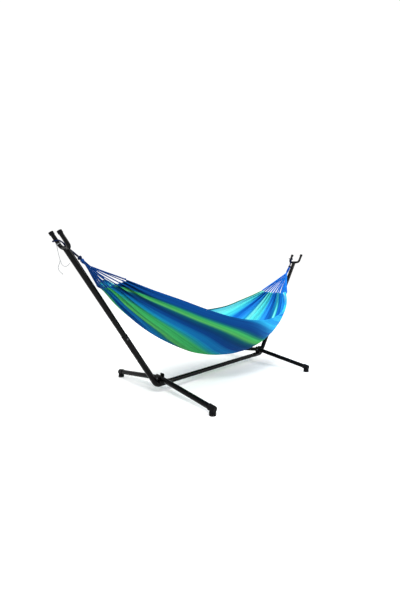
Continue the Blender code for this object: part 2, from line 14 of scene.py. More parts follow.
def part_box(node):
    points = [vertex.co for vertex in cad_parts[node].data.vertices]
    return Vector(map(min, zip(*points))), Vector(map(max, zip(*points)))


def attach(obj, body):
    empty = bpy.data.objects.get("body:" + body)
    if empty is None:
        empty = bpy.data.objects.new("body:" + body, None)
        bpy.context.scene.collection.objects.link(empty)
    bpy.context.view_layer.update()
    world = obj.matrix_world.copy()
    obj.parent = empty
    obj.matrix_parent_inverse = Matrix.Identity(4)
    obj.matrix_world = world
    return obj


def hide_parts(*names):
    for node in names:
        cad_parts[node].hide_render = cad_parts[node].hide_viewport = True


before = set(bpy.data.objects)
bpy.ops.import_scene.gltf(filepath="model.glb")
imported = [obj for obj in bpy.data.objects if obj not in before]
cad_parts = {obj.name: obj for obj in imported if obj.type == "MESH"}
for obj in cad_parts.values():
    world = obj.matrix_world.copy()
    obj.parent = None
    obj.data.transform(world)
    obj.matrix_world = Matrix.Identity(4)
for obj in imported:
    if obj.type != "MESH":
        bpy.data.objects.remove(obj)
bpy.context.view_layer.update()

LEFT, RIGHT = -1, 1
ENDS = {LEFT: "left", RIGHT: "right"}
FRONT, BACK = -1, 1
DEPTHS = {FRONT: "front", BACK: "back"}
OUTSIDE, INSIDE = 0, 1


def low(node):
    return Vector(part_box(node)[0])


def high(node):
    return Vector(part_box(node)[1])


def middle(node):
    return (low(node) + high(node)) / 2


def size(node):
    return high(node) - low(node)


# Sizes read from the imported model
TUBE_R = size("base_tube").y / 2
SOCKET_R = size("lower_arm_left").y / 2
BASE_Z = middle("base_tube").z
BASE_REACH = high("base_tube").x
LEG_X = middle("cross_leg_right").x
LEG_Z = high("cross_leg_right").z - TUBE_R
KNOT_R = size("eye_knot_left").x / 2
HANG_Z = middle("eye_knot_left").z
KNOT_X = {end: middle(f"eye_knot_{ENDS[end]}").x for end in ENDS}
FORK_Y = middle("fork_cap_right_back").y

# Sizes that the boxes don't give: the CAD model's, and those of detail that it leaves out
GAP = 0.0003                    # between pieces that touch
PLUG_CLEARANCE = 0.0005         # round a tube in its socket
WALL = 0.002
EAR_THICKNESS = 0.003
BOLT_R = 0.004
BOLT_HEAD_R = 0.008
BOLT_HEAD_H = 0.0045
NUT_FLATS = 0.013
NUT_H = 0.0065
NUT_CHAMFER = 0.0012
RECESS_R = 0.003                # of the hexagon inside a bolt's head, to its corners
THREAD_DEPTH = 0.0004
THREAD_RINGS = 14
RIM = 0.0006                    # rounding of a tube's cut end
TUBE_SIDES = 48
ARM_TOP_GAP = 0.004             # from an upper arm's end to its fork's middle line
FORK_WELD_R = 0.0022
SADDLE_WELD_R = 0.0018
ELBOW_X = 0.728
ELBOW_RADIUS = 0.060
ARM_ANGLE = math.radians(55.7)
ARM_LENGTH = 1.233
SOCKET_RISE = 0.520
SOCKET_MOUTH_X = 0.600
PLUG_DEPTH = 0.060
LEG_END_Y = 0.575
LEG_END_Z = 0.044
LEG_BEND_RADIUS = 0.100
FOOT_R = 0.0245
FOOT_LENGTH = 0.050
FOOT_END = 0.005
PAD_R = 0.025
PAD_INSET = 0.018
FORK_R = 0.013
FORK_RISE = 0.112
FORK_BEND = 0.030
CAP_R = 0.01575
CAP_LENGTH = 0.022
CAP_END = 0.003
CAP_DOME = 0.004
ROPE_D = 0.009
LOOP_RISE = 0.058
LOOP_SPREAD = 0.0055
WHIP_R = 0.013
WHIP_CORD_D = 0.004
WHIP_PITCH = 1.12               # turn to turn, in cord diameters
WHIP_LENGTH = {LEFT: 0.016, RIGHT: 0.085}
BUNDLE_R = 0.010
TIE_D = 0.004
TIE_WRAP_RISE = 0.034
TIE_WRAP_LENGTH = 0.0065
# Routes from the left fork's bar, beside the outer face of the cord wound on its back prong
TIE_TAIL_ROUTE = (
    (-0.0212, 0.0032, 0.0334), (-0.0182, 0.0045, 0.0094), (-0.0112, 0.0040, -0.0306),
    (-0.0042, -0.0020, -0.0696), (-0.0112, -0.0080, -0.0956), (-0.0202, -0.0120, -0.1156),
    (-0.0152, -0.0140, -0.1376), (0.0018, -0.0150, -0.1546),
)
TIE_LOOP_ROUTE = (
    (-0.0037, -0.0075, -0.0746), (-0.0002, -0.0150, -0.0956), (0.0088, -0.0240, -0.1086),
    (0.0198, -0.0330, -0.1096), (0.0298, -0.0410, -0.1016), (0.0363, -0.0485, -0.0906),
)

# The cloth: (x under the middle, x of the edges, bottom z, edge z, half width)
CLOTH_STATIONS = (
    (-1.160, -1.075, 0.858, 0.902, 0.130),
    (-1.030, -0.930, 0.703, 0.838, 0.200),
    (-0.810, -0.740, 0.522, 0.766, 0.285),
    (-0.550, -0.520, 0.367, 0.683, 0.355),
    (-0.270, -0.260, 0.250, 0.605, 0.415),
    (0.050, 0.050, 0.200, 0.560, 0.440),
    (0.330, 0.310, 0.228, 0.557, 0.410),
    (0.590, 0.540, 0.320, 0.585, 0.350),
    (0.800, 0.720, 0.447, 0.645, 0.285),
    (0.950, 0.855, 0.590, 0.700, 0.215),
    (1.040, 0.940, 0.728, 0.752, 0.140),
)
CLOTH_CUT = (1.40, 2.35)        # width and length before it was gathered
CLOTH_THICKNESS = 0.0014
CLOTH_ROWS = 260                # quads along it
CLOTH_COLUMNS = 288             # quads across it
ROW_TRIM = 0.12                 # how evenly the rows are spread: 0 crowds them at the ends
HEM_INSET = 0.0045              # the hem's middle from the selvage
HEM_HALF_WIDTH = 0.0062
HEM_HALF_THICKNESS = 0.0017
PLEATS = 16                     # at each end, between knots that hold two strings each
STRING_D = {LEFT: 0.0062, RIGHT: 0.0098}
EDGE_STRING_D = 0.0088
STRING_TAPER = 0.5
STRING_SPREAD = 0.0052
STRING_SAG = 0.004              # the most, at a string's middle

# The stripes from one selvage to the other: where each colour is at its purest, in half widths
STRIPE_SPAN = (-1.7, 1.05)
# Yarn colours: on the outside, and on the inside with painted light, as the light that comes through the
# cloth shows them
NAVY = ((5, 58, 120), (20, 110, 200))
INK = ((4, 48, 90), (20, 95, 165))
BLUE = ((12, 100, 155), (45, 155, 235))
TEAL = ((6, 80, 95), (15, 140, 185))
SEA = ((20, 125, 135), (60, 200, 225))
GREEN = ((50, 152, 84), (85, 225, 220))
LEAF = ((70, 155, 80), (125, 235, 225))
SKY = ((35, 180, 240), (20, 145, 225))
AQUA = ((60, 210, 235), (160, 235, 250))
STRIPES = (
    (-1.60, AQUA), (-1.35, AQUA), (-1.20, SKY), (-1.10, SKY), (-1.03, BLUE), (-0.98, NAVY),
    (-0.90, NAVY), (-0.87, TEAL), (-0.84, GREEN), (-0.80, LEAF), (-0.77, TEAL), (-0.73, INK),
    (-0.65, NAVY), (-0.60, BLUE), (-0.55, BLUE), (-0.50, SEA), (-0.45, GREEN), (-0.37, GREEN),
    (-0.29, LEAF), (-0.25, TEAL), (-0.19, BLUE), (-0.11, NAVY), (-0.05, NAVY), (0.02, SEA),
    (0.09, GREEN), (0.19, LEAF), (0.30, TEAL), (0.42, NAVY), (0.56, SEA), (0.68, GREEN),
    (0.82, NAVY), (0.96, GREEN),
)


# Places on the stand

def arm_direction(end):
    return Vector((end * math.cos(ARM_ANGLE), 0, math.sin(ARM_ANGLE)))


def on_arm(end, distance):
    return Vector((end * ELBOW_X, 0, BASE_Z)) + distance * arm_direction(end)


def on_fork(end, rise, y):
    return on_arm(end, ARM_LENGTH + rise) + Vector((0, y, 0))


def arc_points(centre, start, finish, steps):
    centre = Vector(centre)
    first = Vector(start) - centre
    turn = first.rotation_difference(Vector(finish) - centre)
    points = []
    for i in range(steps + 1):
        part = turn.copy()
        part.angle = turn.angle * i / steps
        points.append(centre + part @ first)
    return points


def elbow_path(end):
    setback = ELBOW_RADIUS * math.tan(ARM_ANGLE / 2)
    first = Vector((end * (ELBOW_X - setback), 0, BASE_Z))
    bend = arc_points(first + Vector((0, 0, ELBOW_RADIUS)), first, on_arm(end, setback), 20)
    return [Vector((end * SOCKET_MOUTH_X, 0, BASE_Z)), *bend, on_arm(end, SOCKET_RISE)]


def leg_end(end, depth):
    return Vector((end * LEG_X, depth * LEG_END_Y, LEG_END_Z))


def leg_path(end):
    slope = math.atan2(LEG_Z - LEG_END_Z, LEG_END_Y)
    top = Vector((end * LEG_X, 0, LEG_Z))
    reach = LEG_BEND_RADIUS * math.sin(slope)
    drop = LEG_BEND_RADIUS * (1 - math.cos(slope))
    bend = arc_points(top - Vector((0, 0, LEG_BEND_RADIUS)), top + Vector((0, -reach, -drop)),
                      top + Vector((0, reach, -drop)), 8)
    return [leg_end(end, FRONT), *bend, leg_end(end, BACK)]


def fork_path(end):
    flat = FORK_Y - FORK_BEND
    corners = {}
    for depth in DEPTHS:
        centre = on_fork(end, FORK_BEND, depth * flat)
        corners[depth] = arc_points(centre, on_fork(end, FORK_BEND, depth * FORK_Y),
                                    on_fork(end, 0, depth * flat), 12)
    return [on_fork(end, FORK_RISE, -FORK_Y), *corners[FRONT], *corners[BACK][::-1],
            on_fork(end, FORK_RISE, FORK_Y)]


def knot_centre(end):
    return Vector((KNOT_X[end], 0, HANG_Z))


# Curves

def smooth_through(route, samples=8):
    """A smooth curve through the route's points (Catmull-Rom)."""
    points = [Vector(p) for p in route]
    points = [2 * points[0] - points[1], *points, 2 * points[-1] - points[-2]]
    curve = []
    for a, b, c, d in zip(points, points[1:], points[2:], points[3:]):
        for i in range(samples):
            t = i / samples
            curve.append(0.5 * ((2 * b) + (c - a) * t + (2 * a - 5 * b + 4 * c - d) * t ** 2
                                + (3 * b - a - 3 * c + d) * t ** 3))
    curve.append(points[-2])
    return curve


def evenly(curve, step):
    """The same curve with its points about one step apart."""
    points = np.array([tuple(p) for p in curve])
    lengths = np.concatenate([[0], np.cumsum(np.linalg.norm(np.diff(points, axis=0), axis=1))])
    wanted = np.linspace(0, lengths[-1], max(2, round(lengths[-1] / step)) + 1)
    return np.stack([np.interp(wanted, lengths, points[:, k]) for k in range(3)], axis=1)


def frames_along(path, closed=False):
    """Points with two directions across the path, turned as little as possible."""
    points = np.array([tuple(p) for p in path], float)
    if closed:
        along = np.roll(points, -1, 0) - np.roll(points, 1, 0)
    else:
        steps = np.diff(points, axis=0)
        steps /= np.linalg.norm(steps, axis=1, keepdims=True)
        along = np.vstack([steps[:1], steps[:-1] + steps[1:], steps[-1:]])
    along /= np.linalg.norm(along, axis=1, keepdims=True)
    across = np.zeros_like(points)
    guess = np.array(Vector(along[0]).orthogonal())
    for i, direction in enumerate(along):
        guess = guess - guess.dot(direction) * direction
        guess /= np.linalg.norm(guess)
        across[i] = guess
    return points, across, np.cross(along, across)


# Meshes

class Build:
    """Collects vertices, faces and the mesh's UV coordinates, then makes one object."""

    def __init__(self):
        self.points = []
        self.faces = []
        self.coords = []
        self.count = 0

    def add_rings(self, rings, closed=False, lengths=None):
        """rings is (rings, sides, 3). Closed joins the last ring to the first; else both ends get a cap."""
        rings = np.asarray(rings)
        n, sides, _ = rings.shape
        base = self.count
        self.points.append(rings.reshape(-1, 3))
        self.count += n * sides
        lengths = np.linspace(0, 1, n) if lengths is None else lengths
        u = np.arange(sides) / sides
        i, j = np.meshgrid(np.arange(n if closed else n - 1), np.arange(sides), indexing="ij")
        i, j = i.ravel(), j.ravel()
        i2, j2 = (i + 1) % n, (j + 1) % sides
        quads = np.stack([i * sides + j, i * sides + j2, i2 * sides + j2, i2 * sides + j], 1) + base
        self.faces.extend(quads.tolist())
        right = u[j] + 1 / sides
        self.coords.append(np.stack([
            np.stack([u[j], lengths[i]], 1), np.stack([right, lengths[i]], 1),
            np.stack([right, lengths[i2]], 1), np.stack([u[j], lengths[i2]], 1)], 1).reshape(-1, 2))
        if not closed:
            self.faces.append([base + k for k in range(sides)][::-1])
            self.faces.append([base + (n - 1) * sides + k for k in range(sides)])
            self.coords.append(np.zeros((2 * sides, 2)))

    def tube(self, path, radius, sides, closed=False):
        points, across, over = frames_along(path, closed)
        radius = np.broadcast_to(radius, (len(points),))
        turn = np.arange(sides) * 2 * math.pi / sides
        ring = (np.cos(turn)[None, :, None] * across[:, None, :]
                + np.sin(turn)[None, :, None] * over[:, None, :])
        rings = points[:, None, :] + ring * radius[:, None, None]
        steps = np.linalg.norm(np.diff(points, axis=0), axis=1)
        self.add_rings(rings, closed, np.concatenate([[0], np.cumsum(steps)]))
        return self

    def turned(self, profile, matrix, sides):
        """A profile of (radius, height) round the matrix's Z. Radii are over 0."""
        turn = np.arange(sides) * 2 * math.pi / sides
        rings = np.array([[(r * math.cos(a), r * math.sin(a), h) for a in turn] for r, h in profile])
        spots = np.array([matrix @ Vector(p) for p in rings.reshape(-1, 3)]).reshape(rings.shape)
        self.add_rings(spots)
        return self

    def object(self, name, material, body, slot, replaces=()):
        mesh = bpy.data.meshes.new(name)
        mesh.from_pydata(np.concatenate(self.points).tolist(), [], self.faces)
        layer = mesh.uv_layers.new(name="surface")
        layer.data.foreach_set("uv", np.concatenate(self.coords).ravel())
        mesh.validate()
        mesh.materials.append(material)
        mesh.shade_smooth()
        mesh.set_sharp_from_angle(angle=math.radians(40))
        piece = bpy.data.objects.new(name, mesh)
        bpy.context.scene.collection.objects.link(piece)
        settle(piece, body, replaces)
        return piece


def settle(piece, body, replaces=()):
    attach(piece, body)
    if replaces:
        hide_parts(*replaces)


def aimed(point, along):
    return Matrix.Translation(point) @ Vector(along).to_track_quat("Z", "Y").to_matrix().to_4x4()


def twisted(build, path, diameter, strands=3, pitch=3.4, sides=8, turns_step=9, taper=1.0):
    """A laid rope: strands wound round each other along the path. The pitch is in diameters, and the
    taper is the first end's share of the diameter."""
    lay = pitch * diameter
    points, across, over = frames_along(evenly(path, lay / turns_step))
    along = np.concatenate([[0], np.cumsum(np.linalg.norm(np.diff(points, axis=0), axis=1))])
    radius = diameter / 2 * (taper + (1 - taper) * np.clip(along / (along[-1] * 0.7), 0, 1))
    strand_r = radius * (0.5 if strands == 2 else 0.47)
    offset = (radius - strand_r)[:, None]
    for k in range(strands):
        angle = 2 * math.pi * (along / lay + k / strands)
        line = points + offset * (np.cos(angle)[:, None] * across + np.sin(angle)[:, None] * over)
        build.tube(line, strand_r, sides)
    return build


# Materials

def linear(rgb):
    return tuple((c / 255 / 12.92) if c <= 10 else (((c / 255) + 0.055) / 1.055) ** 2.4 for c in rgb)


def in_span(stripe):
    """A stripe's place as a share of the colour ramp."""
    first, last = STRIPE_SPAN
    return (stripe - first) / (last - first)


class Look:
    """A material with its Principled shader and short ways to add nodes."""

    def __init__(self, name, colour, roughness, metallic=0.0):
        self.material = bpy.data.materials.new(name)
        self.material.use_nodes = True
        self.nodes = self.material.node_tree.nodes
        self.links = self.material.node_tree.links
        self.shader = self.nodes["Principled BSDF"]
        self.shader.inputs["Base Color"].default_value = (*colour, 1)
        self.shader.inputs["Roughness"].default_value = roughness
        self.shader.inputs["Metallic"].default_value = metallic

    def node(self, kind, inputs=None, **settings):
        made = self.nodes.new(kind)
        for key, value in settings.items():
            setattr(made, key, value)
        for key, value in (inputs or {}).items():
            if isinstance(value, bpy.types.NodeSocket):
                self.links.new(value, made.inputs[key])
            else:
                made.inputs[key].default_value = value
        return made

    def noise(self, scale, detail, vector):
        inputs = {"Scale": scale, "Detail": detail, "Vector": vector}
        return self.node("ShaderNodeTexNoise", inputs).outputs["Fac"]

    def scaled(self, vector, factors):
        """A vector multiplied by three factors."""
        inputs = {0: vector, 1: factors}
        return self.node("ShaderNodeVectorMath", inputs, operation="MULTIPLY").outputs["Vector"]

    def wave(self, vector, direction):
        inputs = {"Vector": vector, "Scale": 220.0, "Distortion": 0.4}
        return self.node("ShaderNodeTexWave", inputs, bands_direction=direction).outputs["Fac"]

    def uv(self, layer):
        return self.node("ShaderNodeUVMap", uv_map=layer).outputs["UV"]

    def position(self):
        return self.node("ShaderNodeTexCoord").outputs["Object"]

    def span(self, value, start, finish):
        """value from 0 to 1, mapped to start to finish."""
        inputs = {"Value": value, "To Min": start, "To Max": finish}
        return self.node("ShaderNodeMapRange", inputs).outputs["Result"]

    def blend(self, fac, a, b, kind="MIX"):
        mix = self.node("ShaderNodeMix", data_type="RGBA", blend_type=kind)
        for key, value in (("Factor", fac), ("A", a), ("B", b)):
            socket = next(s for s in mix.inputs if s.name == key and s.enabled)
            if isinstance(value, bpy.types.NodeSocket):
                self.links.new(value, socket)
            else:
                socket.default_value = value
        return next(s for s in mix.outputs if s.enabled)

    def connect(self, socket, target):
        self.links.new(socket, self.shader.inputs[target])

    def specular(self, level):
        self.shader.inputs["Specular IOR Level"].default_value = level

    def bump(self, height, strength, distance):
        node = self.node("ShaderNodeBump", {"Height": height, "Strength": strength, "Distance": distance})
        self.connect(node.outputs["Normal"], "Normal")


def painted_steel():
    """Satin black powder coat: orange peel, small changes of gloss, and rubbed edges."""
    look = Look("painted_steel", (0.003, 0.003, 0.004), 0.34)
    spot = look.position()
    look.specular(0.09)
    look.connect(look.span(look.noise(14, 5, spot), 0.20, 0.34), "Roughness")
    worn = look.node("ShaderNodeNewGeometry").outputs["Pointiness"]
    worn = look.node("ShaderNodeMapRange", {"Value": worn, "From Min": 0.62, "From Max": 0.80})
    worn = worn.outputs["Result"]
    dust = look.span(look.noise(55, 6, spot), 0.0, 0.35)
    base = look.blend(dust, (0.0004, 0.0004, 0.0005, 1), (0.0025, 0.0025, 0.003, 1))
    look.connect(look.blend(worn, base, (0.030, 0.029, 0.028, 1)), "Base Color")
    look.bump(look.noise(900, 2, spot), 0.12, 0.0004)
    return look.material


def moulded_plastic():
    """Dull black caps and feet: a fine grain, with patches a little paler than the rest."""
    look = Look("moulded_plastic", (0.016, 0.016, 0.018), 0.5)
    spot = look.position()
    look.connect(look.span(look.noise(40, 4, spot), 0.42, 0.62), "Roughness")
    tone = look.blend(look.noise(18, 5, spot), (0.0015, 0.0015, 0.002, 1), (0.006, 0.006, 0.007, 1))
    look.connect(tone, "Base Color")
    look.specular(0.05)
    look.bump(look.noise(1400, 3, spot), 0.25, 0.0003)
    return look.material


def zinc_steel():
    """Dark plated steel with a mottled shine."""
    look = Look("zinc_steel", (0.10, 0.10, 0.11), 0.32, 0.9)
    spot = look.position()
    look.connect(look.span(look.noise(120, 5, spot), 0.22, 0.46), "Roughness")
    tone = look.blend(look.noise(70, 4, spot), (0.05, 0.05, 0.055, 1), (0.13, 0.13, 0.14, 1))
    look.connect(tone, "Base Color")
    look.bump(look.noise(2200, 2, spot), 0.15, 0.0002)
    return look.material


def cord_look(name, dark, light, roughness=0.85):
    """Twisted fibres: fine yarns from dark to light, in soft patches."""
    look = Look(name, light, roughness)
    spot = look.position()
    yarn = look.noise(650, 3, spot)
    patch = look.noise(30, 3, spot)
    tone = look.blend(look.span(yarn, 0.15, 0.95), (*dark, 1), (*light, 1))
    look.connect(look.blend(look.span(patch, 0.0, 0.3), tone, (*dark, 1)), "Base Color")
    look.specular(0.08)
    look.bump(yarn, 0.5, 0.0005)
    return look.material


def cloth_look(name, side):
    """Woven cotton: warp stripes, uneven yarns along them, and a plain weave in the bump.

    The UV map "fabric" holds the place along the cloth and the place in the stripes. A second map holds
    painted light: how far light comes through the cloth, and the painted shade in the folds' valleys.
    """
    look = Look(name, linear(NAVY[side]), 0.9)
    fabric = look.uv("fabric")
    place = look.node("ShaderNodeSeparateXYZ", {"Vector": fabric}).outputs["Y"]
    ramp = look.node("ShaderNodeValToRGB", {"Fac": place})
    stops = ramp.color_ramp.elements
    while len(stops) > 1:
        stops.remove(stops[0])
    # The inside's stripe colours are painted light: the yarns as the light coming through the cloth shows
    # them.
    for i, (start, colour) in enumerate(STRIPES):
        stop = stops.new(in_span(start)) if i else stops[0]
        stop.position = in_span(start)
        stop.color = (*linear(colour[side]), 1)

    yarn = look.noise(1.0, 3, look.scaled(fabric, (3.0, 450.0, 1.0)))
    band = look.noise(1.0, 2, look.scaled(fabric, (1.2, 80.0, 1.0)))
    shade = look.blend(look.span(yarn, -0.3, 1.3), (0.68, 0.70, 0.74, 1), (1.25, 1.22, 1.18, 1))
    tone = look.blend(1.0, ramp.outputs["Color"], shade, "MULTIPLY")
    shade = look.blend(look.span(band, -0.7, 1.7), (0.66, 0.71, 0.80, 1), (1.22, 1.15, 1.06, 1))
    tone = look.blend(1.0, tone, shade, "MULTIPLY")

    # Painted light and shade, read from a map of fixed places on the cloth.
    glow = look.uv("glow_outside" if side == OUTSIDE else "glow_inside")
    light = look.node("ShaderNodeSeparateXYZ", {"Vector": glow})
    if side == OUTSIDE:
        # The outside's front right end is painted with the light that comes through the cloth, in streaks.
        streak = look.noise(1.0, 3, look.scaled(fabric, (1.5, 34.0, 1.0)))
        streak = look.span(streak, -0.9, 1.9)
        painted_glow = look.blend(streak, (*linear((2, 66, 164)), 1), (*linear((58, 204, 250)), 1))
        tone = look.blend(light.outputs["X"], tone, painted_glow)
    # Painted shade in the folds' valleys: the colour darkened where the map's second value is low.
    fold_shaded = look.blend(1.0, tone, (0.50, 0.54, 0.62, 1), "MULTIPLY")
    look.connect(look.blend(light.outputs["Y"], fold_shaded, tone), "Base Color")

    weave = look.scaled(fabric, (CLOTH_CUT[1], CLOTH_CUT[0], 1.0))
    inputs = {0: look.wave(weave, "Y"), 1: look.wave(weave, "X")}
    height = look.node("ShaderNodeMath", inputs, operation="ADD").outputs["Value"]
    look.specular(0.04)
    look.bump(height, 0.25, 0.0006)
    return look.material


STEEL = painted_steel()
PLASTIC = moulded_plastic()
ZINC = zinc_steel()
NAVY_CORD = cord_look("navy_cord", linear((2, 8, 26)), linear((8, 28, 72)))
CLEW_CORD = {LEFT: cord_look("blue_cord", linear((2, 18, 62)), linear((22, 78, 156))),
             RIGHT: cord_look("bright_cord", linear((4, 70, 170)), linear((34, 146, 240)))}
WHIP_CORD = {LEFT: CLEW_CORD[LEFT],
             RIGHT: cord_look("whipping_cord", linear((2, 34, 104)), linear((18, 96, 196)))}
WHITE_CORD = cord_look("white_cord", linear((96, 100, 104)), linear((176, 180, 182)), 0.8)
CLOTH_OUT = cloth_look("striped_cloth_outside", OUTSIDE)
CLOTH_IN = cloth_look("striped_cloth_inside", INSIDE)


# Camera, light and floor

def set_camera():
    """Low and close at the left end's front, looking across to the far right fork."""
    spot = Vector((-2.2754, -1.9412, 0.9632))
    yaw, pitch, roll = 0.8069, -0.0872, 0.0138
    level = math.cos(pitch)
    forward = Vector((math.sin(yaw) * level, math.cos(yaw) * level, math.sin(pitch)))
    right = Vector((math.cos(yaw), -math.sin(yaw), 0))
    up = right.cross(forward)
    right, up = (math.cos(roll) * right + math.sin(roll) * up,
                 -math.sin(roll) * right + math.cos(roll) * up)
    lens = bpy.data.cameras.new("camera")
    lens.sensor_width = 36
    lens.lens = 19.35
    lens.clip_start = 0.05
    camera = bpy.data.objects.new("camera", lens)
    turn = Matrix((right, up, -forward)).transposed().to_4x4()
    camera.matrix_world = Matrix.Translation(spot) @ turn
    bpy.context.scene.collection.objects.link(camera)
    bpy.context.scene.camera = camera


def area_light(name, spot, target, size_m, watts):
    lamp = bpy.data.lights.new(name, "AREA")
    lamp.shape = "RECTANGLE"
    lamp.size, lamp.size_y = size_m
    lamp.energy = watts
    thing = bpy.data.objects.new(name, lamp)
    thing.matrix_world = aimed(Vector(spot), Vector(spot) - Vector(target))
    bpy.context.scene.collection.objects.link(thing)


def set_studio():
    scene = bpy.context.scene
    scene.view_settings.view_transform = "Standard"
    world = bpy.data.worlds.new("studio")
    world.use_nodes = True
    background = world.node_tree.nodes["Background"]
    background.inputs["Color"].default_value = (1, 1, 1, 1)
    background.inputs["Strength"].default_value = 1.05
    scene.world = world
    area_light("key_light", (-3.4, -2.0, 4.0), (0, 0, 0.5), (1.0, 0.8), 120)
    area_light("top_light", (0.5, 0.5, 4.5), (0, 0, 0.3), (4.0, 3.0), 80)
    area_light("side_light", (2.6, -2.8, 2.4), (0, 0, 0.5), (0.8, 1.6), 60)

    mesh = bpy.data.meshes.new("floor")
    half = 30.0
    corners = [(-half, -half, 0), (half, -half, 0), (half, half, 0), (-half, half, 0)]
    mesh.from_pydata(corners, [], [(0, 1, 2, 3)])
    look = Look("floor", (0.93, 0.93, 0.93), 0.9)
    look.specular(0.1)
    look.shader.inputs["Emission Color"].default_value = (1, 1, 1, 1)
    look.shader.inputs["Emission Strength"].default_value = 0.12
    cloud = look.noise(0.8, 2, look.position())
    look.connect(look.blend(cloud, (0.92, 0.92, 0.92, 1), (0.95, 0.95, 0.95, 1)), "Base Color")
    mesh.materials.append(look.material)
    floor = bpy.data.objects.new("floor", mesh)
    scene.collection.objects.link(floor)


# Thin tie cord

def white_piece(build, name, node):
    return build.object(name, WHITE_CORD, "stand", "white_cord", [node])


def make_tie_cord():
    """A pale cord wound round the left back prong, with a knotted tail and a short branch to the arm."""
    turns, steps = 1.9, 60
    centre = on_fork(LEFT, TIE_WRAP_RISE, FORK_Y)
    up = arm_direction(LEFT)
    side = Vector((0, 1, 0))
    over = up.cross(side)
    r = FORK_R + TIE_D / 2 * 0.82
    spiral = []
    for i in range(steps + 1):
        angle = 2 * math.pi * turns * i / steps
        lift = (i / steps - 0.5) * (TIE_WRAP_LENGTH - TIE_D * 0.4)
        spiral.append(centre + r * (math.cos(angle) * side + math.sin(angle) * over) + lift * up)
    wrap = white_piece(twisted(Build(), spiral, TIE_D * 0.8, strands=2, sides=8),
                       "tie_cord_wrap_turns", "tie_cord_wrap")

    r = size("tie_cord_knot").x / 2
    line = trefoil(middle("tie_cord_knot"), r * 0.62, Vector((1, 0.4, 0.3)), 72)
    knot = white_piece(Build().tube(line, r * 0.36, 10, closed=True), "tie_cord_end_knot", "tie_cord_knot")

    start = on_fork(LEFT, 0, FORK_Y + FORK_R + TIE_D)
    for name, route, far_end, on_it in (("tail", TIE_TAIL_ROUTE, "knot", [knot, wrap]),
                                        ("loop", TIE_LOOP_ROUTE, "object", [])):
        path = smooth_through([start + Vector(p) for p in route], 10)
        rope = white_piece(twisted(Build(), path, TIE_D, strands=2, sides=8),
                           f"tie_cord_{name}_rope", f"tie_cord_{name}")


def trefoil(centre, reach, axis, points):
    """A trefoil knot's line that fits in a ball of about 1.5 times the reach."""
    turn = Vector(axis).to_track_quat("Z", "Y")
    line = []
    for i in range(points):
        t = 2 * math.pi * i / points
        spot = Vector((math.sin(t) + 2 * math.sin(2 * t), math.cos(t) - 2 * math.cos(2 * t),
                       -1.4 * math.sin(3 * t)))
        line.append(centre + turn @ (spot * reach / 3))
    return line


# Stand

def hollow_tube(path, outer, inner):
    """A tube with rounded rims: its outer skin and its inner skin, joined at both ends."""
    points, across, over = frames_along(path)
    first = (points[1] - points[0]) / np.linalg.norm(points[1] - points[0])
    last = (points[-1] - points[-2]) / np.linalg.norm(points[-1] - points[-2])
    end = len(points) - 1
    spots = [points[0], points[0] + first * RIM, *points[1:-1], points[-1] - last * RIM, points[-1]]
    sets = [0, 0, *range(1, end), end, end]
    radii = [outer - RIM, outer, *[outer] * (end - 1), outer, outer - RIM]
    turn = np.arange(TUBE_SIDES) * 2 * math.pi / TUBE_SIDES
    rings = []
    for spot, k, radius in zip([*spots, *points[::-1]], [*sets, *range(end, -1, -1)],
                               [*radii, *[inner] * (end + 1)]):
        rings.append(spot + radius * (np.cos(turn)[:, None] * across[k] + np.sin(turn)[:, None] * over[k]))
    build = Build()
    build.add_rings(np.array(rings), closed=True)
    return build


def steel_piece(build, name, *nodes):
    return build.object(name, STEEL, "stand", "painted_steel", list(nodes))


def make_tubes():
    inner = TUBE_R - WALL
    base = ((-BASE_REACH, 0, BASE_Z), (BASE_REACH, 0, BASE_Z))
    steel_piece(hollow_tube(base, TUBE_R, inner), "base_tube_steel", "base_tube")
    for end, place in ENDS.items():
        arm = (on_arm(end, SOCKET_RISE - PLUG_DEPTH), on_arm(end, ARM_LENGTH - ARM_TOP_GAP))
        for name, tube in (("lower_arm", hollow_tube(elbow_path(end), SOCKET_R, TUBE_R + PLUG_CLEARANCE)),
                           ("upper_arm", hollow_tube(arm, TUBE_R, inner)),
                           ("cross_leg", hollow_tube(leg_path(end), TUBE_R, inner))):
            steel_piece(tube, f"{name}_steel_{place}", f"{name}_{place}")


def weld_bead(build, line, radius, closed=True):
    """A rippled fillet of weld along a line."""
    line = evenly([*line, line[0]] if closed else line, radius * 0.55)
    if closed:
        line = line[:-1]
    ripple = radius * (1 + 0.16 * np.sin(np.arange(len(line)) * 2 * math.pi / 4))
    return build.tube(line, ripple, 10, closed=closed)


def cap_profile():
    """A fork cap's (radius, height) from inside its mouth round to the top of its dome."""
    r, top, bore = CAP_R, CAP_END, FORK_R + GAP
    mouth = top - CAP_LENGTH
    dome = [(r * math.cos(a), top - CAP_DOME + CAP_DOME * math.sin(a)) for a in np.linspace(0, 1.45, 7)]
    return [(bore, 0.0005), (bore, mouth), (r - 0.0006, mouth), (r, mouth + 0.0008), (r, mouth + 0.003),
            (r - 0.0005, mouth + 0.0035), (r - 0.0003, top - 0.006), *dome]


def make_forks():
    seam_r, seam_points = TUBE_R * 0.97, 72
    for end, place in ENDS.items():
        fork = Build().tube(fork_path(end), FORK_R, 32)
        up = arm_direction(end)
        side = Vector((0, 1, 0))
        over = up.cross(side)
        seam = []
        for i in range(seam_points):
            angle = 2 * math.pi * i / seam_points
            x, y = seam_r * math.cos(angle), seam_r * math.sin(angle)
            sink = math.sqrt(max(FORK_R ** 2 - x ** 2, 0))
            seam.append(on_arm(end, ARM_LENGTH - sink - 0.0015) + x * over + y * side)
        weld_bead(fork, seam, FORK_WELD_R)
        steel_piece(fork, f"fork_steel_{place}", f"fork_{place}")
        for depth, where in DEPTHS.items():
            cap = Build().turned(cap_profile(), aimed(on_fork(end, FORK_RISE, depth * FORK_Y), up), 36)
            cap.object(f"fork_cap_shell_{place}_{where}", PLASTIC, "stand", "black_plastic",
                       [f"fork_cap_{place}_{where}"])


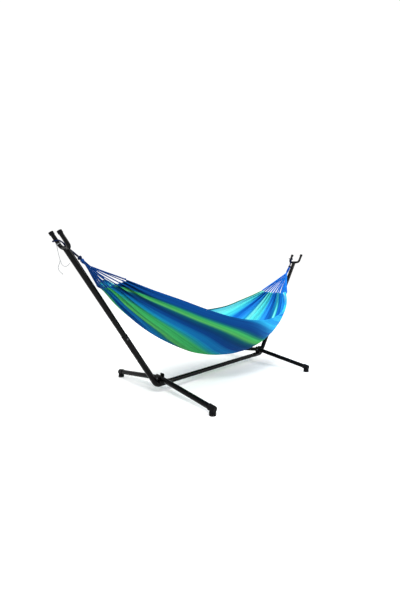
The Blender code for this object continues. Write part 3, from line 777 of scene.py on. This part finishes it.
def foot_mesh(end, depth):
    """A sleeve with a rounded closed end and a rib at its mouth, on a pad with a grooved side."""
    tip = leg_end(end, depth)
    path = leg_path(end)
    along = (path[-1] - path[-2]).normalized() if depth == BACK else (path[0] - path[1]).normalized()
    bore, skin, mouth, round_r = TUBE_R + 0.0002, FOOT_R - 0.0008, -FOOT_LENGTH, 0.006
    sleeve = [(bore, -0.001), (bore, mouth), (FOOT_R - 0.0012, mouth), (FOOT_R, mouth + 0.0012),
              (FOOT_R, mouth + 0.005), (skin, mouth + 0.006), (skin, -0.004)]
    sleeve += [(skin - round_r * (1 - math.cos(a)), FOOT_END - round_r + round_r * math.sin(a))
               for a in np.linspace(0, math.pi / 2, 6)]
    sleeve += [(0.008, FOOT_END), (0.002, FOOT_END - 0.0006)]
    build = Build().turned(sleeve, aimed(tip, along), 48)
    pad_top = tip - along * (PAD_INSET / abs(along.y))
    stem = pad_top.z - FOOT_R * 0.72
    r = PAD_R
    pad = [(r - 0.0040, 0.0), (r - 0.0012, 0.0), (r, 0.0015), (r, 0.0060), (r - 0.0012, 0.0070),
           (r - 0.0012, 0.0085), (r, 0.0095), (r - 0.0004, 0.0150), (r - 0.0016, stem),
           (r - 0.006, stem + 0.004)]
    return build.turned(pad, Matrix.Translation((pad_top.x, pad_top.y, 0)), 48)


def make_feet():
    for end, place in ENDS.items():
        for depth, where in DEPTHS.items():
            foot_mesh(end, depth).object(f"foot_cap_shell_{place}_{where}", PLASTIC, "stand", "black_plastic",
                                         [f"foot_cap_{place}_{where}"])


def make_saddles():
    """The bracket itself stays the CAD's. A weld runs along its inner side, where it meets the base."""
    seam_r, seam_points = SOCKET_R + 0.0006, 24
    for end, place in ENDS.items():
        bracket = f"saddle_bracket_{place}"
        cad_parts[bracket].material_slots[0].material = STEEL
        x = low(bracket).x if end == RIGHT else high(bracket).x
        seam = []
        for i in range(seam_points + 1):
            angle = math.radians(20 + 140 * i / seam_points)
            seam.append((x, seam_r * math.cos(angle), BASE_Z + seam_r * math.sin(angle)))
        steel_piece(weld_bead(Build(), seam, SADDLE_WELD_R, closed=False), f"saddle_weld_{place}")


def bolt_mesh(matrix, grip):
    """A dome head whose flat top covers a hexagon, and a shank with a threaded tip past the nut."""
    r, brim, top = BOLT_HEAD_R, 0.0008, -BOLT_HEAD_H
    dome = [(r * math.cos(a), -brim - (BOLT_HEAD_H - brim) * math.sin(a)) for a in np.linspace(0.08, 1.12, 8)]
    build = Build()
    build.turned([(BOLT_R, 0.0), (r, 0.0), (r, -brim), *dome, (RECESS_R, top)], matrix, 36)
    floor_r = RECESS_R - 0.0004
    build.turned([(RECESS_R, top), (floor_r, top + 0.0002), (floor_r, -0.0018), (0.0004, -0.0014)], matrix, 6)
    tip = grip + NUT_H + 0.0021
    start = grip + 0.0006
    thread = [(BOLT_R - (THREAD_DEPTH if i % 2 else 0.0), start + (tip - start) * i / (THREAD_RINGS - 1))
              for i in range(THREAD_RINGS)]
    end = tip + 0.0003
    return build.turned([(BOLT_R, 0.0), *thread, (BOLT_R - 0.0012, end), (0.0004, end)], matrix, 24)


def nut_mesh(matrix):
    """A hexagon nut with chamfered corners."""
    flat, sides = NUT_FLATS / 2, 48
    corner = flat / math.cos(math.pi / 6)
    bore = [BOLT_R + 0.0003] * sides
    turn = [2 * math.pi * i / sides for i in range(sides)]
    outline = [flat / math.cos(angle % (math.pi / 3) - math.pi / 6) for angle in turn]
    cut = [min(reach, corner - NUT_CHAMFER) for reach in outline]
    full = [min(reach, corner) for reach in outline]
    rings = []
    for height, reaches in ((0.0, cut), (NUT_CHAMFER, full), (NUT_H - 0.0010, full), (NUT_H, cut),
                            (NUT_H, bore), (0.0, bore)):
        rings.append([tuple(matrix @ Vector((reach * math.cos(angle), reach * math.sin(angle), height)))
                      for reach, angle in zip(reaches, turn)])
    build = Build()
    build.add_rings(np.array(rings), closed=True)
    return build


def make_bolts():
    for end, place in ENDS.items():
        base = Vector((end * (SOCKET_MOUTH_X + PLUG_DEPTH / 2), 0, BASE_Z))
        arm = on_arm(end, SOCKET_RISE - PLUG_DEPTH / 2)
        saddle = Vector((end * LEG_X, 0, LEG_Z))
        joints = (("base", base, (0, 1, 0), 2 * SOCKET_R), ("arm", arm, (0, 1, 0), 2 * SOCKET_R),
                  ("saddle", saddle, (end, 0, 0), 2 * (TUBE_R + GAP + EAR_THICKNESS)))
        for name, point, along, grip in joints:
            along = Vector(along)
            reach = along * (grip / 2 + GAP)
            for kind, mesh in (("bolt", bolt_mesh(aimed(point - reach, along), grip + 2 * GAP)),
                               ("nut", nut_mesh(aimed(point + reach, along)))):
                mesh.object(f"{name}_{kind}_detail_{place}", ZINC, "stand", "zinc_steel",
                            [f"{name}_{kind}_{place}"])


# Ropes

def eye_loop_route(end):
    """Round the back prong and down over the fork's bar to the knot, as the CAD's rope runs."""
    prong = on_fork(end, LOOP_RISE, FORK_Y)
    down = -arm_direction(end)
    inward = Vector((0, -1, 0))
    upper = Vector((-end * math.sin(ARM_ANGLE), 0, math.cos(ARM_ANGLE)))
    around = FORK_R + ROPE_D / 2 + 0.0025
    over_bar = FORK_R + ROPE_D / 2 + 0.003

    def place(a, b, c):
        return prong + inward * a + upper * b + down * c

    knot = knot_centre(end)
    towards = (place(0.022, over_bar, LOOP_RISE + 0.004) - knot).normalized()
    sideways = towards.cross(Vector((1, 0, 0))).normalized()
    if sideways.y > 0:
        sideways = -sideways
    start = KNOT_R * 0.75
    ends = [knot + towards * start + sideways * side * LOOP_SPREAD * 0.6 for side in (1, -1)]
    return [
        ends[0],
        place(0.034, over_bar + 0.002, LOOP_RISE + 0.006),
        place(0.026, over_bar, LOOP_RISE - 0.020),
        place(around, 0.006, 0.006),
        place(around * 0.72, -around * 0.72, 0.0),
        place(0, -around - 0.001, 0.0),
        place(-around * 0.72, -around * 0.72, 0.0),
        place(-around, 0.003, 0.004),
        place(-around * 0.72, around, 0.012),
        place(0.006, around + 0.004, LOOP_RISE - 0.024),
        place(0.021, over_bar + 0.002, LOOP_RISE + 0.004),
        ends[1],
    ]


def make_eye_loops():
    for end, place in ENDS.items():
        rope = twisted(Build(), smooth_through(eye_loop_route(end), 10), ROPE_D, strands=3, sides=12)
        rope.object(f"eye_loop_rope_{place}", NAVY_CORD, "stand", "blue_cord", [f"eye_loop_{place}"])


def make_knots():
    for end, place in ENDS.items():
        knot = Build()
        line = trefoil(knot_centre(end), KNOT_R * 0.72, clew_direction(end), 96)
        knot.tube(line, KNOT_R * 0.42, 14, closed=True)
        knot.object(f"eye_knot_rope_{place}", NAVY_CORD, "hammock", "blue_cord", [f"eye_knot_{place}"])


def clew_direction(end):
    station = CLOTH_STATIONS[0 if end == LEFT else -1]
    return (Vector((station[0], 0, station[2])) - knot_centre(end)).normalized()


def make_whippings():
    """Cord wound tight round the bundle, over a core that closes it."""
    thick = WHIP_CORD_D
    for end, place in ENDS.items():
        along = clew_direction(end)
        matrix = aimed(knot_centre(end) + along * KNOT_R, along)
        length = WHIP_LENGTH[end]
        turns = length / (thick * WHIP_PITCH)
        steps = int(turns * 20)
        points = []
        for i in range(steps + 1):
            share = i / steps
            angle = 2 * math.pi * turns * share
            swell = 1 - 0.10 * math.cos(2 * math.pi * share) - 0.05 * share
            r = (WHIP_R - thick / 2) * min(swell, 1.0)
            height = thick / 2 + (length - thick) * share
            points.append(matrix @ Vector((r * math.cos(angle), r * math.sin(angle), height)))
        wrap = Build().tube(points, thick / 2, 7)
        core = [(WHIP_R * 0.45, -0.006), (WHIP_R * 0.72, 0.001), (WHIP_R * 0.76, length * 0.5),
                (WHIP_R * 0.72, length - 0.001), (WHIP_R * 0.55, length)]
        wrap.turned(core, matrix, 24)
        wrap.object(f"whipping_wrap_{place}", WHIP_CORD[end], "hammock", "blue_cord", [f"whipping_{place}"])


# Cloth

def stations_at(along):
    """The cloth's section values at 0 (left) to 1 (right), for an array of places."""
    stations = np.array(CLOTH_STATIONS)
    stations = np.vstack([2 * stations[0] - stations[1], stations, 2 * stations[-1] - stations[-2]])
    place = np.asarray(along) * (len(CLOTH_STATIONS) - 1)
    i = np.clip(place.astype(int), 0, len(CLOTH_STATIONS) - 2)
    t = (place - i)[..., None]
    a, b, c, d = (stations[i + k] for k in range(4))
    return 0.5 * ((2 * b) + (c - a) * t + (2 * a - 5 * b + 4 * c - d) * t ** 2
                  + (3 * b - a - 3 * c + d) * t ** 3)


def smooth_noise(points, waves, seed):
    """A gentle random height from a few seeded sine waves; points is (..., 2)."""
    rng = np.random.default_rng(seed)
    total = np.zeros(points.shape[:-1])
    for reach in waves:
        for _ in range(3):
            direction = rng.normal(size=2)
            direction *= 2 * math.pi / (reach * np.linalg.norm(direction))
            total += np.sin(points @ direction + rng.uniform(0, 2 * math.pi))
    return total / (3 * len(waves))


def grid_normals(grid):
    normal = np.cross(np.gradient(grid, axis=0), np.gradient(grid, axis=1))
    return normal / np.linalg.norm(normal, axis=-1, keepdims=True)


def cloth_surface(rows, columns):
    """The middle of the cloth as a grid, with pleats that open out from the strings at each end."""
    u = np.linspace(0, 1, rows + 1)
    u = 0.5 - 0.5 * np.cos(math.pi * (ROW_TRIM + (1 - 2 * ROW_TRIM) * u)) / math.cos(math.pi * ROW_TRIM)
    v = np.linspace(-1, 1, columns + 1)
    U, V = np.meshgrid(np.clip(u, 0, 1), v, indexing="ij")
    s = stations_at(U)
    turn = V * math.pi / 2
    rise = 1 - np.cos(turn)
    grid = np.stack([s[..., 0] + (s[..., 1] - s[..., 0]) * rise, s[..., 4] * np.sin(turn),
                     s[..., 2] + (s[..., 3] - s[..., 2]) * rise], axis=-1)
    steps = np.linalg.norm(np.diff(grid[:, columns // 2], axis=0), axis=1)
    run = np.concatenate([[0], np.cumsum(steps)])
    along = np.broadcast_to(run[:, None], U.shape)
    normal = grid_normals(grid)

    rng = np.random.default_rng(7)
    lift = np.zeros(U.shape)
    pull = np.zeros(U.shape)
    crease = np.zeros(U.shape)
    for end, distance in ((LEFT, along), (RIGHT, run[-1] - along)):
        strength = rng.uniform(0.75, 1.25, PLEATS + 1)
        shift = rng.uniform(-0.12, 0.12, PLEATS + 1)
        phase = (V + 1) / 2 * PLEATS
        wander = np.interp(phase, np.arange(PLEATS + 1), shift) * (1 - np.exp(-distance / 0.15))
        folds = -np.cos(2 * math.pi * (phase + wander))
        folds = np.sign(folds) * np.abs(folds) ** 0.8
        depth = 0.0120 * np.exp(-distance / 0.13) + 0.0060 * np.exp(-distance / 0.42)
        depth = depth * np.interp(phase, np.arange(PLEATS + 1), strength)
        lift += folds * depth
        # crease sets the painted shade in the folds' valleys near each end.
        crease += folds * np.exp(-(distance / 0.34) ** 2)
        broad = np.sin(2 * math.pi * (phase / 2.7 + 0.3 * end))
        lift += 0.0045 * broad * np.exp(-((distance - 0.35) / 0.30) ** 2)
        scallop = 0.5 - 0.5 * np.cos(2 * math.pi * phase)
        pull -= end * 0.016 * (1 - scallop) * np.exp(-distance / 0.05)
    cloth_xy = np.stack([along, (V + 1) / 2 * CLOTH_CUT[0]], axis=-1)
    lift += 0.0030 * smooth_noise(cloth_xy * np.array([0.5, 1.6]), (0.35, 0.6), 3)
    lift += 0.0012 * smooth_noise(cloth_xy * np.array([0.25, 2.5]), (0.12, 0.2), 5)
    settled = np.clip(1 - np.abs(V) ** 8, 0, 1) * 0.5 + 0.5
    grid = grid + normal * (lift * settled)[..., None]
    grid[..., 0] -= pull
    fabric = np.stack([U, (V + 1) / 2], axis=-1)
    return grid, fabric, crease


def smooth_step(value, start, finish):
    t = np.clip((value - start) / (finish - start), 0, 1)
    return t * t * (3 - 2 * t)


def stripe_place(along, across):
    """Which stripe lies at a place on the cloth. The cloth hangs twisted: the stripes lean towards its
    back edge to the right, and the left end's gathers pull them to the middle."""
    lean = np.logaddexp(0, (along + 0.4 * (across + 0.83) - 0.397) / 0.03) * 0.03
    lean = lean / (1 + (lean / 0.78) ** 4) ** 0.25
    gather = 0.31 * np.exp(-along / 0.06) * np.tanh(-3 * across)
    place = across - lean - gather
    return np.where(along < 0.3, np.maximum(place, -0.97), place)


def sunlit(along, across):
    """How much light coming through the cloth is painted into the outside's colour: the front panel's right
    end glows.
    """
    start = 0.43 + 0.30 * (across + 0.95)
    return smooth_step(along, start, start + 0.17) * smooth_step(-across, -0.1, 0.2) * 0.85


def make_cloth():
    """One closed sheet, an inside and an outside skin joined at the rim, and a hem on each selvage."""
    grid, fabric, crease = cloth_surface(CLOTH_ROWS, CLOTH_COLUMNS)
    normal = grid_normals(grid)
    half = CLOTH_THICKNESS / 2
    inner, outer = grid + normal * half, grid - normal * half
    n, m = grid.shape[:2]
    points = np.concatenate([inner.reshape(-1, 3), outer.reshape(-1, 3)])
    index = np.arange(n * m).reshape(n, m)
    a, b = index[:-1, :-1].ravel(), index[:-1, 1:].ravel()
    c, d = index[1:, 1:].ravel(), index[1:, :-1].ravel()
    inside = np.stack([a, d, c, b], 1)
    outside = np.stack([a, b, c, d], 1) + n * m
    rim = np.concatenate([index[0, :-1], index[:-1, -1], index[-1, :0:-1], index[:0:-1, 0]])
    after = np.roll(rim, -1)
    edge = np.stack([rim, after, after + n * m, rim + n * m], 1)
    faces = np.concatenate([inside, outside, edge])
    mesh = bpy.data.meshes.new("striped_cloth")
    mesh.from_pydata(points.tolist(), [], faces.tolist())

    coords = np.concatenate([fabric.reshape(-1, 2)] * 2)
    along, across = coords[:, 0], 2 * coords[:, 1] - 1
    stripe = in_span(stripe_place(along, across))
    # Painted shade in the folds' valleys: 1 leaves a place's colour as it is, 0 darkens it fully.
    crease = np.concatenate([crease.ravel()] * 2)
    unshaded_in, unshaded_out = np.clip(1 + 1.3 * crease, 0, 1), np.clip(1 - 1.3 * crease, 0, 1)
    # Painted light: how much light coming through the cloth the colour takes.
    glow = sunlit(along, across)
    for layer, u, v in (("fabric", along, stripe), ("glow_outside", glow, unshaded_out),
                        ("glow_inside", glow, unshaded_in)):
        values = np.stack([u, v], 1)[faces.ravel()].ravel()
        mesh.uv_layers.new(name=layer).data.foreach_set("uv", values)
    mesh.materials.append(CLOTH_IN)
    mesh.materials.append(CLOTH_OUT)
    kinds = np.concatenate([np.zeros(len(inside), int), np.ones(len(outside) + len(edge), int)])
    mesh.polygons.foreach_set("material_index", kinds)
    mesh.shade_smooth()
    cloth = bpy.data.objects.new("striped_cloth", mesh)
    bpy.context.scene.collection.objects.link(cloth)
    settle(cloth, "hammock", ["hammock_cloth"])
    hems = [make_hem(grid, normal, *selvage) for selvage in ((0, 6, -1.0, "front"), (-1, -7, 1.0, "back"))]
    return grid


def make_hem(grid, normal, column, inward, across, where):
    """A flattened roll along one selvage; inward is a column a little way into the cloth."""
    line = grid[::2, column]
    turn = np.arange(10) * 2 * math.pi / 10
    down = grid[::2, inward] - line
    down /= np.linalg.norm(down, axis=1, keepdims=True)
    out = normal[::2, column]
    centre = line + down * HEM_INSET
    rings = centre[:, None] + (np.cos(turn)[None, :, None] * down[:, None] * HEM_HALF_WIDTH
                               + np.sin(turn)[None, :, None] * out[:, None] * HEM_HALF_THICKNESS)
    hem = Build()
    hem.add_rings(rings)
    piece = hem.object(f"cloth_hem_{where}", CLOTH_OUT, "hammock", "striped_cloth")
    along = np.concatenate(hem.coords)[:, 1]
    stripe = in_span(stripe_place(along, np.full(len(along), across * 0.985)))
    # Painted light coming through the cloth; the hem gets no painted shade of folds.
    glow = sunlit(along, np.full(len(along), across))
    for layer, values in (("fabric", (along, stripe)), ("glow_outside", (glow, np.ones(len(along))))):
        piece.data.uv_layers.new(name=layer).data.foreach_set("uv", np.stack(values, 1).ravel())
    return piece


def string_roots(end, count):
    """Where the strings leave the whipping: spots that fill a disc, in order across the bundle."""
    spots = []
    golden = math.pi * (3 - math.sqrt(5))
    for k in range(count):
        r = (BUNDLE_R - STRING_TAPER * STRING_D[end] / 2) * math.sqrt((k + 0.5) / count)
        spots.append((r * math.cos(k * golden), r * math.sin(k * golden)))
    return sorted(spots, key=lambda spot: spot[1])


# A string's knot in the cloth's edge: (radius, height) of its turned bead
STRING_KNOT = (
    (0.0030, -0.0050), (0.0052, -0.0042), (0.0060, -0.0030), (0.0048, -0.0020), (0.0060, -0.0008),
    (0.0062, 0.0006), (0.0052, 0.0018), (0.0060, 0.0030), (0.0058, 0.0046), (0.0036, 0.0062),
)


def string_path(matrix, root, target, side, sag):
    """From inside the whipping, out of its mouth and across to one side of a knot in the cloth."""
    start = matrix @ (root + Vector((0, 0, -0.010)))
    leave = matrix @ (root * 1.15 + Vector((0, 0, 0.010)))
    finish = target + Vector((0, side * STRING_SPREAD, 0)) - (target - leave).normalized() * 0.001
    half = leave.lerp(finish, 0.5) + Vector((0, 0, -sag))
    return smooth_through([start, leave, leave.lerp(half, 0.5), half, half.lerp(finish, 0.5), finish], 6)


def make_clews(grid):
    """Two strings to each knot in the cloth's scalloped end, from the whipping."""
    for end, place in ENDS.items():
        along = clew_direction(end)
        mouth = knot_centre(end) + along * (KNOT_R + WHIP_LENGTH[end])
        matrix = aimed(mouth, along)
        across_y = 1 if (matrix.to_3x3() @ Vector((0, 1, 0))).y > 0 else -1
        row = grid[0] if end == LEFT else grid[-1]
        strings, knots = Build(), Build()
        roots = iter(string_roots(end, 2 * PLEATS + 2))
        rng = np.random.default_rng(20 + end)
        for k in range(PLEATS + 1):
            target = Vector(row[round((len(row) - 1) * k / PLEATS)])
            thick = EDGE_STRING_D if k in (0, PLEATS) else STRING_D[end]
            for side in (-1, 1):
                x, y = next(roots)
                sag = rng.uniform(0.0, STRING_SAG)
                path = string_path(matrix, Vector((x, across_y * y, 0)), target, side, sag)
                twisted(strings, path, thick, strands=3, pitch=4.5, sides=6, turns_step=7, taper=STRING_TAPER)
            pull = (target - mouth).normalized()
            knots.turned(STRING_KNOT, aimed(target - pull * 0.006, pull), 12)
        strings.object(f"clew_strings_{place}", CLEW_CORD[end], "hammock", "blue_cord", [f"clew_{place}"])
        knots.object(f"string_knots_{place}", CLEW_CORD[end], "hammock", "blue_cord")


set_camera()
set_studio()
make_tie_cord()
make_tubes()
make_forks()
make_feet()
make_saddles()
make_bolts()
make_eye_loops()
make_knots()
make_whippings()
cloth_grid = make_cloth()
make_clews(cloth_grid)

bpy.context.view_layer.update()
